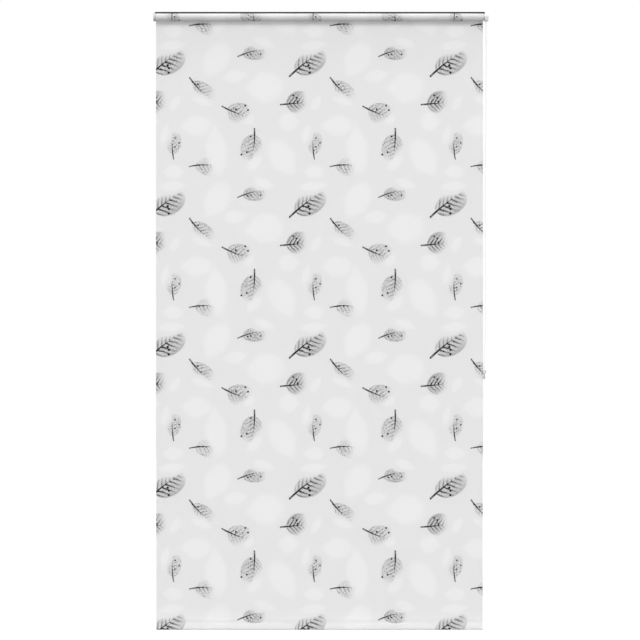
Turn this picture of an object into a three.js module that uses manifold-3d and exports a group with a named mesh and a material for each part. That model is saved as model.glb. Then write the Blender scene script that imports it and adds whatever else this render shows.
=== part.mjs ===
// Shower roller blind: a printed cloth that hangs from a chain-driven roller under a slim ceiling rail.
// Millimetres, +Z up. X runs along the roller, with the chain drive at +X, and -Y is the side seen in use.
// The origin is the middle of the rail's top face, on the ceiling plane, and the roller hangs in front of it.
import * as THREE from "three";
import { mergeVertices } from "three/addons/utils/BufferGeometryUtils.js";
import Module from "manifold-3d";

// Driving dimensions
const GAP = 0.3; // clearance between pieces that meet
const CLOTH = { width: 1280, thickness: 1, bottom: -2419, hem: 30 };
const ROLLER = { y: -13, z: -22, radius: 14, wall: 1.2 };
const ROLL = { radius: 15.5, step: 0.4 }; // wound cloth: the outer radius drops by the step over one turn
const RAIL = { left: -643, right: 646, depth: 18, height: 5, wall: 1.5, lip: 1.4, slot: 9.6 };
const HEM_ROD = { radius: 4.5, inset: 2 };
const TONGUE = { length: 22, thickness: 1.4 };
const IDLE = { outer: -649, radius: 16, round: 2.5, floor: 1.2, pin: 3, flange: 1.7 };
const IDLE_NECK = { thickness: 3, foot: -18 };
const DRIVE = { inner: 646, outer: 660, radius: 14.7, wall: 2.1, corner: 2, pin: 4 };
const DRIVE_PLATE = { thickness: 2.7, round: 1 };
const DRIVE_NECK = { start: 641.2, overlap: 2, shelf: -6.8, foot: -24, leg: 4.2 };
const WHEEL = { rim: 10.9, collar: 12.9, rimWidth: 2.05 };
const PLUG_LENGTH = 22; // how far each end piece reaches into the tube
const CHAIN = { bead: 4.5, pitch: 6, pockets: 10, x: 650.6, sides: 8 };
const WEIGHT = { x: 643.5, top: -1401, thickness: 6, bevel: 1 };
const LOOP = { corner: { x: 5.5, z: -3, radius: 3 }, foot: { z: -16.5, radius: 3.4 } };
const EYE = { corner: { x: 2.4, z: -5.2, radius: 1.6 }, foot: { z: -11.5, radius: 1.4 } };
const BULB = { radius: 4.8, half: 6.4, z: -28, neck: 3 };
const TURN = { radius: 9, z: 2.5, top: 9 }; // the chain's turn through the weight's eye; heights from the top

// The chain's free stretch from the wheel to the pull weight: how far each strand strays in X at each height
const CHAIN_SWAY = [
  { z: -60, front: 0.3, back: 0.1 },
  { z: -130, front: 1.6, back: 0.6 },
  { z: -230, front: 1.1, back: 0.9 },
  { z: -340, front: -0.2, back: 0.3 },
  { z: -480, front: -1.6, back: -1.0 },
  { z: -640, front: -2.4, back: -1.9 },
  { z: -820, front: -2.2, back: -2.2 },
  { z: -960, front: -1.8, back: -1.5 },
  { z: -1080, front: -1.9, back: -0.9 },
  { z: -1190, front: -2.5, back: -1.0 },
  { z: -1280, front: -3.9, back: -2.2 },
  { z: -1340, front: -5.5, back: -4.2 },
];

// Materials
const PLASTICS = { roughness: 0.45, metalness: 0 };
const MATERIALS = {
  cloth: { color: 0xe6e6e6, roughness: 0.85, metalness: 0 },
  rail: { color: 0x3c3e40, roughness: 0.5, metalness: 0.3 },
  aluminium: { color: 0xb4b6b8, roughness: 0.35, metalness: 1 },
  grey: { color: 0xd2d2d0, ...PLASTICS },
  white: { color: 0xf2f2f0, ...PLASTICS },
  chain: { color: 0xf4f4f2, ...PLASTICS },
};

const wasm = await Module();
wasm.setup();

function toSolid(geometry) {
  const bare = geometry.clone();
  bare.deleteAttribute("normal");
  bare.deleteAttribute("uv");
  const merged = mergeVertices(bare, 1e-3);
  const mesh = new wasm.Mesh({
    numProp: 3,
    vertProperties: merged.getAttribute("position").array,
    triVerts: new Uint32Array(merged.index.array),
  });
  return new wasm.Manifold(mesh);
}

function toGeometry(solid) {
  const mesh = solid.getMesh();
  const geometry = new THREE.BufferGeometry();
  geometry.setAttribute("position", new THREE.BufferAttribute(mesh.vertProperties, 3));
  geometry.setIndex(new THREE.BufferAttribute(mesh.triVerts, 1));
  return geometry;
}

function joined(first, ...others) {
  return toGeometry(others.reduce((sum, part) => sum.add(toSolid(part)), toSolid(first)));
}

function cut(body, tool) {
  return toGeometry(toSolid(body).subtract(toSolid(tool)));
}

function named(name, geometry, material) {
  const mesh = new THREE.Mesh(geometry, new THREE.MeshStandardMaterial(MATERIALS[material]));
  mesh.name = name;
  return mesh;
}

// Axes for sections: x is depth (world Y), y is height (world Z) and z runs along the roller (world X).
const across = new THREE.Group();
const basis = new THREE.Matrix4().makeBasis(
  new THREE.Vector3(0, 1, 0),
  new THREE.Vector3(0, 0, 1),
  new THREE.Vector3(1, 0, 0),
);
across.quaternion.setFromRotationMatrix(basis);

function extruded(shape, from, to, bevel = 0) {
  const options = {
    depth: to - from - 2 * bevel,
    bevelEnabled: bevel > 0,
    bevelThickness: bevel,
    bevelSize: bevel,
    bevelOffset: -bevel,
    bevelSegments: 3,
    curveSegments: 24,
  };
  return new THREE.ExtrudeGeometry(shape, options).translate(0, 0, from + bevel);
}

function box(x0, x1, depth, z0, z1) {
  const geometry = new THREE.BoxGeometry(depth, z1 - z0, x1 - x0);
  return geometry.translate(0, (z0 + z1) / 2, (x0 + x1) / 2);
}

// A turned piece on the roller's axis; each profile point is [radius, place along X].
function turned(profile, sides = 40) {
  const points = profile.map(([radius, x]) => new THREE.Vector2(radius, x));
  const geometry = new THREE.LatheGeometry(points, sides);
  geometry.rotateX(Math.PI / 2);
  return geometry.translate(ROLLER.y, ROLLER.z, 0);
}

function arc(centre, radius, from, to, steps) {
  return Array.from({ length: steps + 1 }, (_, i) => {
    const angle = from + ((to - from) * i) / steps;
    return [centre[0] + radius * Math.cos(angle), centre[1] + radius * Math.sin(angle)];
  });
}

function shapeOf(points) {
  return new THREE.Shape(points.map(([x, y]) => new THREE.Vector2(x, y)));
}

function pathOf(points) {
  return new THREE.Path(points.map(([x, y]) => new THREE.Vector2(x, y)));
}

// Cloth: wound turns round the tube, a panel that leaves them at the back, and a hem pocket round the rod
const edge = CLOTH.width / 2;
const panelY = ROLLER.y + ROLL.radius - CLOTH.thickness / 2;
const hemTop = CLOTH.bottom + CLOTH.hem;
const hemRadius = HEM_ROD.radius + GAP + CLOTH.thickness;
const rodZ = CLOTH.bottom + hemRadius;
const hemSlope = Math.asin((hemRadius - CLOTH.thickness / 2) / (hemTop - rodZ)); // the sides' lean inwards

// The round bottom of the hem at an inset from its outside, from the front side's end to the back side's
function hemRound(inset) {
  return arc([panelY, rodZ], hemRadius - inset, Math.PI - hemSlope, 2 * Math.PI + hemSlope, 20);
}

function makeCloth() {
  const ROLL_STEPS = 48;
  const lastRadius = ROLL.radius - ROLL.step;
  const inner = ROLL.radius - CLOTH.thickness;
  const sweep = 2 * Math.PI - Math.acos(inner / lastRadius);
  const roll = Array.from({ length: ROLL_STEPS + 1 }, (_, i) => {
    const share = i / ROLL_STEPS;
    const radius = ROLL.radius + (lastRadius - ROLL.radius) * share;
    const angle = sweep * share;
    return [ROLLER.y + radius * Math.cos(angle), ROLLER.z + radius * Math.sin(angle)];
  });
  const half = CLOTH.thickness / 2;
  const shape = shapeOf([...roll, [panelY - half, hemTop], ...hemRound(0), [panelY + half, hemTop]]);
  const tubeHole = arc([ROLLER.y, ROLLER.z], ROLLER.radius + GAP, 2 * Math.PI, 0, ROLL_STEPS);
  shape.holes.push(pathOf(tubeHole.slice(1)));
  const pocketTop = rodZ + (hemRadius - CLOTH.thickness) / Math.sin(hemSlope);
  shape.holes.push(pathOf([[panelY, pocketTop], ...hemRound(CLOTH.thickness).reverse()]));
  return extruded(shape, -edge, edge);
}

function makeHemRod() {
  const section = arc([panelY, rodZ], HEM_ROD.radius, 0, 2 * Math.PI, 24).slice(1);
  return extruded(shapeOf(section), HEM_ROD.inset - edge, edge - HEM_ROD.inset);
}

// Roller
function makeTube() {
  const inner = ROLLER.radius - ROLLER.wall;
  const profile = [
    [inner, -edge],
    [ROLLER.radius, -edge],
    [ROLLER.radius, edge],
    [inner, edge],
    [inner, -edge],
  ];
  return turned(profile, 48);
}

const plugRadius = ROLLER.radius - ROLLER.wall - GAP;
const idleFlange = -edge - GAP - IDLE.flange;
const idleInner = idleFlange - GAP;
const idleBore = IDLE.outer + IDLE.floor;

function makeIdlePlug() {
  const pinEnd = idleBore + GAP;
  return turned([
    [0, pinEnd],
    [IDLE.pin, pinEnd],
    [IDLE.pin, idleFlange],
    [ROLLER.radius, idleFlange],
    [ROLLER.radius, idleFlange + IDLE.flange],
    [plugRadius, idleFlange + IDLE.flange],
    [plugRadius, PLUG_LENGTH - edge],
    [0, PLUG_LENGTH - edge],
  ]);
}

const pitchRadius = CHAIN.pitch / (2 * Math.sin(Math.PI / CHAIN.pockets));
const pinBore = DRIVE.pin + GAP;
const grooveHalf = CHAIN.bead / 2 + GAP;

function makeChainWheel() {
  const core = pitchRadius - CHAIN.bead / 2 - GAP;
  const collarEnd = DRIVE.inner - GAP;
  const outer = CHAIN.x + grooveHalf + WHEEL.rimWidth;
  return turned([
    [pinBore, edge - PLUG_LENGTH],
    [plugRadius, edge - PLUG_LENGTH],
    [plugRadius, edge + GAP],
    [WHEEL.collar, edge + GAP],
    [WHEEL.collar, collarEnd],
    [WHEEL.rim, collarEnd],
    [WHEEL.rim, CHAIN.x - grooveHalf],
    [core, CHAIN.x - grooveHalf],
    [core, CHAIN.x + grooveHalf],
    [WHEEL.rim, CHAIN.x + grooveHalf],
    [WHEEL.rim, outer],
    [pinBore, outer],
    [pinBore, edge - PLUG_LENGTH],
  ]);
}

// Head rail: a slim channel, open below, that takes the brackets' tongues
function makeRail() {
  const half = RAIL.depth / 2;
  const side = half - RAIL.wall;
  const lipTop = RAIL.lip - RAIL.height;
  const section = shapeOf([
    [-half, -RAIL.height],
    [-RAIL.slot / 2, -RAIL.height],
    [-RAIL.slot / 2, lipTop],
    [-side, lipTop],
    [-side, -RAIL.wall],
    [side, -RAIL.wall],
    [side, lipTop],
    [RAIL.slot / 2, lipTop],
    [RAIL.slot / 2, -RAIL.height],
    [half, -RAIL.height],
    [half, 0],
    [-half, 0],
  ]);
  return extruded(section, RAIL.left, RAIL.right);
}

const tongueTop = -RAIL.wall - GAP;
const tongueWidth = RAIL.depth - 2 * (RAIL.wall + GAP);
const neckHalf = RAIL.slot / 2 - GAP;

function makeTongue(from, to) {
  return box(from, to, tongueWidth, tongueTop - TONGUE.thickness, tongueTop);
}

// Left bracket: a round cup that carries the plug's pin
function makeIdleBracket() {
  const rim = arc([IDLE.radius - IDLE.round, IDLE.outer + IDLE.round], IDLE.round, -Math.PI / 2, 0, 5);
  const cup = turned([
    [0, IDLE.outer],
    ...rim,
    [IDLE.radius, idleInner],
    [IDLE.pin + GAP, idleInner],
    [IDLE.pin + GAP, idleBore],
    [0, idleBore],
  ]);
  const neckEnd = RAIL.left - IDLE_NECK.thickness;
  const neck = box(neckEnd, idleInner, 2 * neckHalf, IDLE_NECK.foot, tongueTop);
  const tongue = makeTongue(neckEnd, RAIL.left + TONGUE.length);
  return joined(cup, neck, tongue);
}

// Right bracket: a guard over the chain wheel, open below, with the pin that the wheel turns on
function guardOutline(radius, bottom, corner) {
  const middle = ROLLER.y;
  const over = arc([middle, ROLLER.z], radius, 0, Math.PI, 24);
  if (corner === 0) {
    return [...over, [middle - radius, bottom], [middle + radius, bottom]];
  }
  const front = arc([middle + corner - radius, bottom + corner], corner, Math.PI, 1.5 * Math.PI, 5);
  const back = arc([middle + radius - corner, bottom + corner], corner, 1.5 * Math.PI, 2 * Math.PI, 5);
  return [...over, ...front, ...back];
}

// The neck's section: a shelf that fills the rail's slot, and a leg down the back of the guard
function driveNeckShape() {
  const inner = neckHalf - DRIVE_NECK.leg;
  return shapeOf([
    [-neckHalf, tongueTop],
    [-neckHalf, DRIVE_NECK.shelf],
    [inner, DRIVE_NECK.shelf],
    [inner, DRIVE_NECK.foot],
    [neckHalf, DRIVE_NECK.foot],
    [neckHalf, tongueTop],
  ]);
}

function makeDriveBracket() {
  const bottom = ROLLER.z - DRIVE.radius;
  const plateInner = DRIVE.outer - DRIVE_PLATE.thickness;
  const overlap = DRIVE_PLATE.thickness / 2;
  const pinTip = edge - PLUG_LENGTH + 2;
  const outline = shapeOf(guardOutline(DRIVE.radius, bottom, DRIVE.corner));
  const hollow = shapeOf(guardOutline(DRIVE.radius - DRIVE.wall, bottom - 1, 0));
  const body = extruded(outline, DRIVE.inner, plateInner + overlap);
  const guard = cut(body, extruded(hollow, DRIVE.inner - 1, plateInner));
  const plate = extruded(outline, plateInner, DRIVE.outer, DRIVE_PLATE.round);
  const pin = turned([
    [0, pinTip],
    [DRIVE.pin, pinTip],
    [DRIVE.pin, plateInner + overlap],
    [0, plateInner + overlap],
  ]);
  const neck = extruded(driveNeckShape(), DRIVE_NECK.start, DRIVE.inner + DRIVE_NECK.overlap);
  const tongue = makeTongue(RAIL.right - TONGUE.length, DRIVE.inner);
  return joined(guard, plate, pin, neck, tongue);
}

// Bead chain: plain round stretches of the beads' diameter
const chainRound = shapeOf(arc([0, 0], CHAIN.bead / 2, 0, 2 * Math.PI, CHAIN.sides).slice(1));

function tube(points, steps) {
  const extrudePath = new THREE.CatmullRomCurve3(points);
  return new THREE.ExtrudeGeometry(chainRound, { steps, bevelEnabled: false, extrudePath });
}

const offWheelZ = ROLLER.z - 1; // where the chain has left the wheel and hangs straight
const LEAD = 12; // straight run at each end of a strand

function makeOverWheel() {
  const over = arc([ROLLER.y, ROLLER.z], pitchRadius, 0, Math.PI, 10);
  const points = [[ROLLER.y + pitchRadius, offWheelZ], ...over, [ROLLER.y - pitchRadius, offWheelZ]];
  return tube(points.map(([y, z]) => new THREE.Vector3(CHAIN.x, y, z)), 12);
}

// Pull weight and the turn of chain in its eye, in a frame whose origin is the middle of the weight's top
const weightFrame = new THREE.Group();
weightFrame.position.set(WEIGHT.x, ROLLER.y, WEIGHT.top);

function makeTurn() {
  const bend = arc([0, TURN.z], TURN.radius, Math.PI, 2 * Math.PI, 12);
  const points = [[-TURN.radius, TURN.top], ...bend, [TURN.radius, TURN.top]];
  return tube(points.map(([y, z]) => new THREE.Vector3(0, y, z)), 14);
}

// A triangle with round corners, point down: two corners level with each other and a foot below them
function triangle({ corner, foot }) {
  const slope = Math.atan2(corner.x, corner.z - foot.z);
  return [
    ...arc([corner.x, corner.z], corner.radius, -slope, Math.PI / 2, 5),
    ...arc([-corner.x, corner.z], corner.radius, Math.PI / 2, Math.PI + slope, 5),
    ...arc([0, foot.z], foot.radius, Math.PI + slope, 2 * Math.PI - slope, 6),
  ];
}

function makeWeight() {
  const loop = shapeOf(triangle(LOOP));
  loop.holes.push(pathOf(triangle(EYE).reverse()));
  const half = WEIGHT.thickness / 2;
  const plate = extruded(loop, -half, half, WEIGHT.bevel).rotateX(Math.PI / 2);
  const neckAngle = Math.acos(BULB.neck / BULB.radius);
  const bulb = arc([0, 0], 1, -Math.PI / 2, neckAngle, 10).slice(1).map(([across, up]) => {
    return [BULB.radius * across, BULB.z + BULB.half * up];
  });
  const profile = [[0, BULB.z - BULB.half], ...bulb, [BULB.neck, LOOP.foot.z], [0, LOOP.foot.z]];
  const points = profile.map(([radius, z]) => new THREE.Vector2(radius, z));
  return joined(plate, new THREE.LatheGeometry(points, 24).rotateX(Math.PI / 2));
}

// A strand from the wheel's side down to the turn; side is -1 in front and 1 behind.
function makeStrand(side, sway) {
  const start = new THREE.Vector3(CHAIN.x, ROLLER.y + side * pitchRadius, offWheelZ - GAP);
  const end = new THREE.Vector3(WEIGHT.x, ROLLER.y + side * TURN.radius, WEIGHT.top + TURN.top + GAP);
  const between = CHAIN_SWAY.map((row) => {
    const point = start.clone().lerp(end, (start.z - row.z) / (start.z - end.z));
    return point.setX(CHAIN.x + row[sway]);
  });
  const first = start.clone().setZ(start.z - LEAD);
  const last = end.clone().setZ(end.z + LEAD);
  return tube([start, first, ...between, last, end], 28);
}

across.add(
  named("head_rail", makeRail(), "rail"),
  named("cloth", makeCloth(), "cloth"),
  named("hem_rod", makeHemRod(), "aluminium"),
  named("roller_tube", makeTube(), "aluminium"),
  named("idle_plug", makeIdlePlug(), "grey"),
  named("idle_bracket", makeIdleBracket(), "grey"),
  named("chain_wheel", makeChainWheel(), "grey"),
  named("drive_bracket", makeDriveBracket(), "white"),
);
weightFrame.add(
  named("pull_weight", makeWeight(), "grey"),
  named("chain_turn", makeTurn(), "chain"),
);

const blind = new THREE.Group();
blind.add(
  across,
  weightFrame,
  named("chain_over_wheel", makeOverWheel(), "chain"),
  named("chain_front", makeStrand(-1, "front"), "chain"),
  named("chain_back", makeStrand(1, "back"), "chain"),
);

export default blind;
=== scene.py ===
"""Shower roller blind: a printed cloth on a chain-driven roller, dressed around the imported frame."""

import math
from functools import partialmethod
from types import SimpleNamespace

import bmesh
import bpy
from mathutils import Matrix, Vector


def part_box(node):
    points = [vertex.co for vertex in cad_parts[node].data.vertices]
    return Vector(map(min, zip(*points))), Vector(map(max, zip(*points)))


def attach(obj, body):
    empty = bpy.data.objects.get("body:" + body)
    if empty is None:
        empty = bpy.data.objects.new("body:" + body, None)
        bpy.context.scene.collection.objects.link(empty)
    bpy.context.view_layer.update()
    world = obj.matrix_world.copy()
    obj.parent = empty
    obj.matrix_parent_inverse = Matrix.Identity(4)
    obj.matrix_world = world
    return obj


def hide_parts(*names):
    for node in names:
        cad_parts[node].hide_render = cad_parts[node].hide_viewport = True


bl_info = {
    "name": "Shower Roller Blind",
    "version": (1, 0, 0),
    "blender": (4, 5, 0),
    "location": "3D View > Sidebar > Blind",
    "description": "Builds the cloth, bead chain, pull weight, brackets, rail and stage of a roller blind",
    "category": "Object",
}

MM = 0.001
BODY = "root"

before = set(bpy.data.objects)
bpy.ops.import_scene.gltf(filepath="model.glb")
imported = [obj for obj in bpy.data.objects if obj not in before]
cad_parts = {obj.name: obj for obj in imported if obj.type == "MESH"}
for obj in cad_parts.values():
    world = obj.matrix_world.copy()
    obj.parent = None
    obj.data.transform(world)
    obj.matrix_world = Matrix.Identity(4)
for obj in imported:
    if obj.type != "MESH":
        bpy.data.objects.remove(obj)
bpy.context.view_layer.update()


def sizes(**millimetres):
    """Named sizes, given in millimetres."""
    return SimpleNamespace(**{name: size * MM for name, size in millimetres.items()})


def middle(node):
    """The middle of a frame node's box."""
    low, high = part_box(node)
    return (low + high) / 2


def half_height(node):
    low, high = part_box(node)
    return (high.z - low.z) / 2


CLOTH_LOW, CLOTH_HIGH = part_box("cloth")
WEIGHT_LOW, WEIGHT_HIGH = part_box("pull_weight")
AXIS = middle("roller_tube")
CENTRE = (AXIS.y, AXIS.z)  # the roller's axis in outlines of Y and Z
TUBE_RADIUS = half_height("roller_tube")
ROLL_RADIUS = AXIS.y - CLOTH_LOW.y
ROD = middle("hem_rod")
ROD_RADIUS = half_height("hem_rod")
CHAIN_X = middle("chain_over_wheel").x
RAIL_START, RAIL_END = (corner.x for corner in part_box("head_rail"))
WEIGHT_X = middle("pull_weight").x


# Settings


def number(label, text, default, **more):
    """A plain setting, never below 0."""
    return bpy.props.FloatProperty(name=label, description=text, default=default, min=0.0, **more)


def metres(label, text, default):
    """A setting that is a length."""
    return number(label, text, default, unit="LENGTH", precision=5)


def colour(label, text, default):
    """A setting that is a colour, as the lamps see it."""
    return bpy.props.FloatVectorProperty(
        name=label, description=text, default=default, size=3, subtype="COLOR", min=0.0, max=1.0
    )


class BlindClothSettings(bpy.types.PropertyGroup):
    thickness: metres("Thickness", "Thickness of the coated cloth", 0.28 * MM)
    turn_gap: metres("Turn gap", "Air between two wound turns", 0.02 * MM)
    weld: metres("Weld", "Height of the strip that is welded to the back above the hem", 8 * MM)
    ripple: metres("Ripple", "How far the hanging cloth strays from flat", 0.3 * MM)
    repeat: metres("Print repeat", "Width and height of one repeat of the print", 0.5513)
    translucence: number("Translucence", "Share of the light that the cloth lets through", 0.4, max=1.0)
    ground: colour("Ground", "Colour of the cloth between the leaves", (0.83, 0.83, 0.83))
    pale: colour("Pale leaves", "Colour of the faint leaves behind the others", (0.863, 0.863, 0.863))
    ink: colour("Ink", "Colour of the leaf skeletons", (0.022, 0.022, 0.023))


class BlindChainSettings(bpy.types.PropertyGroup):
    bead: metres("Bead", "Diameter of one bead", 4.5 * MM)
    pitch: metres("Pitch", "Distance from bead to bead", 6 * MM)
    string: metres("String", "Diameter of the string through the beads", 1.1 * MM)
    colour: colour("Colour", "Colour of the beads and their string", (0.97, 0.97, 0.965))


class BlindFittingSettings(bpy.types.PropertyGroup):
    rounding: metres("Edge rounding", "Radius of the moulded edges", 0.27 * MM)
    grey: colour("Grey plastic", "Colour of the left bracket and its plug", (0.53, 0.53, 0.525))
    white: colour("White plastic", "Colour of the chain guard", (0.64, 0.64, 0.635))
    wheel: colour("Wheel plastic", "Colour of the chain wheel", (0.55, 0.55, 0.55))
    weight: colour("Weight plastic", "Colour of the pull weight", (0.5, 0.5, 0.495))
    # The rail's near-black colour is partly painted shade: it also stands in for the shade line over the
    # roll's top.
    rail: colour("Rail paint", "Colour of the head rail", (0.032, 0.033, 0.034))
    aluminium: colour("Aluminium", "Colour of the tube and the hem rod", (0.62, 0.63, 0.64))


class BlindStageSettings(bpy.types.PropertyGroup):
    floor_drop: metres("Floor drop", "Height of the hem above the floor", 0.9)
    floor_size: metres("Floor size", "Width and depth of the floor", 60.0)
    distance: metres("Camera distance", "From the camera to the hanging cloth", 10.44)
    lens: number("Lens", "Focal length for a 36 mm wide sensor", 150.0)
    front: number("Front light", "Strength of the soft light from above the camera", 1.57)
    top: number("Top light", "Strength of the soft light from above", 1.3)
    back: number("Back light", "Strength of the soft light from behind", 0.3)
    ambient: number("Room light", "Strength of the even light all round", 0.745)


# Meshes


def linked(name, data):
    """A new object in the scene, at the origin."""
    made = bpy.data.objects.new(name, data)
    bpy.context.scene.collection.objects.link(made)
    return made


def placed(mesh, material, rounding=0.0, segments=3):
    """A finished piece, named like its mesh, that rides on the frame, its sharp edges rounded."""
    piece = linked(mesh.name, mesh)
    mesh.materials.append(material)
    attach(piece, BODY)
    if rounding:
        bevel = piece.modifiers.new("rounding", "BEVEL")
        bevel.width, bevel.segments, bevel.limit_method = rounding, segments, "ANGLE"
        bevel.angle_limit = math.radians(32)
        bevel.harden_normals = True
        applied(piece)
    return piece


def applied(piece):
    """Makes the piece's modifiers part of its mesh, and returns that mesh."""
    made = bpy.data.meshes.new_from_object(piece.evaluated_get(bpy.context.evaluated_depsgraph_get()))
    piece.modifiers.clear()
    old, piece.data = piece.data, made
    bpy.data.meshes.remove(old)
    return made


def mesh_of(name, vertices, faces):
    """A mesh with smooth shading."""
    mesh = bpy.data.meshes.new(name)
    mesh.from_pydata(vertices, [], faces)
    mesh.update()
    mesh.shade_smooth()
    return mesh


def arc(centre, radius, start, end, steps):
    """Points on a circle, from one angle to another."""
    angles = [start + (end - start) * i / steps for i in range(steps + 1)]
    return [(centre[0] + radius * math.cos(a), centre[1] + radius * math.sin(a)) for a in angles]


def grid_faces(rows, columns, close_rows=False, close_columns=False):
    """Quads between neighbouring points of a grid that is stored row by row."""
    faces = []
    for r in range(rows if close_rows else rows - 1):
        for c in range(columns if close_columns else columns - 1):
            r2, c2 = (r + 1) % rows, (c + 1) % columns
            faces.append((r * columns + c, r * columns + c2, r2 * columns + c2, r2 * columns + c))
    return faces


def outward(mesh):
    """Merges doubles and turns every face outwards."""
    shell = bmesh.new()
    shell.from_mesh(mesh)
    bmesh.ops.remove_doubles(shell, verts=shell.verts, dist=1e-7)
    bmesh.ops.recalc_face_normals(shell, faces=shell.faces)
    shell.to_mesh(mesh)
    shell.free()
    return mesh


def lofted(name, *sections):
    """A solid through outlines in Y and Z, each given with its X."""
    n = len(sections[0][1])
    vertices = [(x, y, z) for x, outline in sections for y, z in outline]
    faces = grid_faces(len(sections), n, False, True)
    faces += [tuple(range(n)), tuple(range(len(vertices) - n, len(vertices)))]
    return outward(mesh_of(name, vertices, faces))


def turned(name, profile, sides, spot):
    """A turned solid, its points placed by spot. Its profile is (radius, along), and a radius may vary by
    angle. The profile closes on itself, or else it starts and ends on the axis."""
    vertices = []
    for i in range(sides):
        a = 2 * math.pi * i / sides
        for radius, along in profile:
            r = radius(a) if callable(radius) else radius
            vertices.append(spot(r * math.cos(a), r * math.sin(a), along))
    ring = profile[0][0] != 0.0
    return outward(mesh_of(name, vertices, grid_faces(sides, len(profile), True, ring)))


def circle(radius, sides=96):
    """A circle round the roller's axis, as Y and Z."""
    return arc(CENTRE, radius, 0, 2 * math.pi, sides)[:-1]


def rod(name, radius, start, end):
    """A round rod on the roller's axis, from one X to another."""
    outline = circle(radius, 64)
    return lofted(name, (start, outline), (end, outline))


def block(name, low, high):
    """A plain block between two corners."""
    outline = [(low[1], low[2]), (high[1], low[2]), (high[1], high[2]), (low[1], high[2])]
    return lofted(name, (low[0], outline), (high[0], outline))


def combined(name, base, *steps):
    """Adds and cuts solids, each step ("UNION" or "DIFFERENCE", mesh), and returns one smooth mesh."""
    body = linked(name, base)
    tools = []
    for operation, mesh in steps:
        tools.append(linked(name + "_tool", mesh))
        change = body.modifiers.new(operation, "BOOLEAN")
        change.operation, change.object, change.solver = operation, tools[-1], "EXACT"
    made = applied(body)
    for tool in tools:
        mesh = tool.data
        bpy.data.objects.remove(tool)
        bpy.data.meshes.remove(mesh)
    bpy.data.objects.remove(body)
    made.name = name
    made.shade_smooth()
    return made


# Shader trees


def node(tree, kind, inputs=None, **settings):
    """A node with its settings, and its inputs by name or number: plain values, or what to link."""
    made = tree.nodes.new(kind)
    for key, value in settings.items():
        setattr(made, key, value)
    for key, value in (inputs or {}).items():
        join(tree, value, made.inputs[key])
    return made


def join(tree, value, socket):
    """Gives a socket a plain value, or links it to a Number, a socket or a node's first output."""
    if isinstance(value, Number):
        value = value.socket
    if isinstance(value, bpy.types.Node):
        value = value.outputs[0]
    if isinstance(value, bpy.types.NodeSocket):
        tree.links.new(value, socket)
    else:
        socket.default_value = value


class Number:
    """A number that a tree works out. Arithmetic on it adds Math nodes."""

    def __init__(self, socket):
        self.socket = socket

    def math(self, operation, *others):
        tree = self.socket.id_data
        made = tree.nodes.new("ShaderNodeMath")
        made.operation = operation
        for value, socket in zip((self, *others), made.inputs):
            join(tree, value, socket)
        return Number(made.outputs[0])

    __add__ = __radd__ = partialmethod(math, "ADD")
    __sub__ = partialmethod(math, "SUBTRACT")
    __rsub__ = partialmethod(math, "MULTIPLY_ADD", -1.0)
    __mul__ = __rmul__ = partialmethod(math, "MULTIPLY")
    __truediv__ = partialmethod(math, "DIVIDE")
    most = partialmethod(math, "MAXIMUM")
    least = partialmethod(math, "MINIMUM")
    size = partialmethod(math, "ABSOLUTE")

    def rise(self, low, high, top=1.0):
        """0 below low and top above high, smooth in between."""
        tree = self.socket.id_data
        limits = {0: self, 1: low, 2: high, 3: 0.0, 4: top}
        ramp = node(tree, "ShaderNodeMapRange", limits, interpolation_type="SMOOTHSTEP")
        return Number(ramp.outputs[0])

    def fall(self, low, high):
        """1 below low and 0 above high, smooth in between."""
        return 1.0 - self.rise(low, high)


def blend_numbers(share, low, high):
    """low where share is 0 and high where it is 1."""
    tree = share.socket.id_data
    mixer = node(tree, "ShaderNodeMix", {0: share, 2: low, 3: high}, data_type="FLOAT")
    return Number(mixer.outputs[0])


def blend_colours(tree, share, low, high):
    """low where share is 0 and high where it is 1, each a colour socket or a colour."""
    mixer = node(tree, "ShaderNodeMix", {0: share}, data_type="RGBA")
    for value, socket in ((low, mixer.inputs[6]), (high, mixer.inputs[7])):
        join(tree, (*value, 1.0) if isinstance(value, tuple) else value, socket)
    return mixer.outputs[2]


def emptied(owner):
    """The tree of a material or a world, emptied."""
    owner.use_nodes = True
    owner.node_tree.nodes.clear()
    return owner.node_tree


def new_material(name, inputs=None):
    """A plain new material, with its tree and its Principled node, given that node's inputs."""
    material = bpy.data.materials.new(name)
    tree = emptied(material)
    surface = node(tree, "ShaderNodeBsdfPrincipled", inputs)
    node(tree, "ShaderNodeOutputMaterial", {"Surface": surface})
    return material, tree, surface


def dressed(tree, surface, tint, roughness, height, strength, depth):
    """Gives a Principled node its colour, its roughness and a bump of some strength and depth."""
    join(tree, tint, surface.inputs["Base Color"])
    join(tree, roughness, surface.inputs["Roughness"])
    bump = node(tree, "ShaderNodeBump", {"Height": height, "Strength": strength, "Distance": depth})
    join(tree, bump, surface.inputs["Normal"])


def noise(tree, vector, scale, detail=2.0):
    """Smooth noise of the given fineness, about 0.3 to 0.7."""
    made = node(tree, "ShaderNodeTexNoise", {"Vector": vector, "Scale": scale, "Detail": detail})
    return Number(made.outputs["Fac"])


def shade(value, factor):
    """A lighter or darker copy of a colour."""
    return tuple(min(1.0, channel * factor) for channel in value)


def moulded(name, tint, roughness=0.42, speckle=0.03, milky=0.0):
    """Moulded plastic: faint mottling, a fine grain, and flow marks that vary the gloss."""
    material, tree, surface = new_material(name)
    place = node(tree, "ShaderNodeTexCoord").outputs["Object"]
    mottle = noise(tree, place, 90.0, 3.0)
    share = mottle.rise(0.3, 0.7)
    mixed = blend_colours(tree, share, shade(tint, 1 - speckle), shade(tint, 1 + speckle))
    gloss = blend_numbers(share, roughness - 0.05, roughness + 0.07)
    height = noise(tree, place, 2600.0) * 0.6 + mottle * 0.4
    dressed(tree, surface, mixed, gloss, height, 0.12, 0.1 * MM)
    if milky:
        see_through(tree, surface, milky, mixed)
    return material


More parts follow.
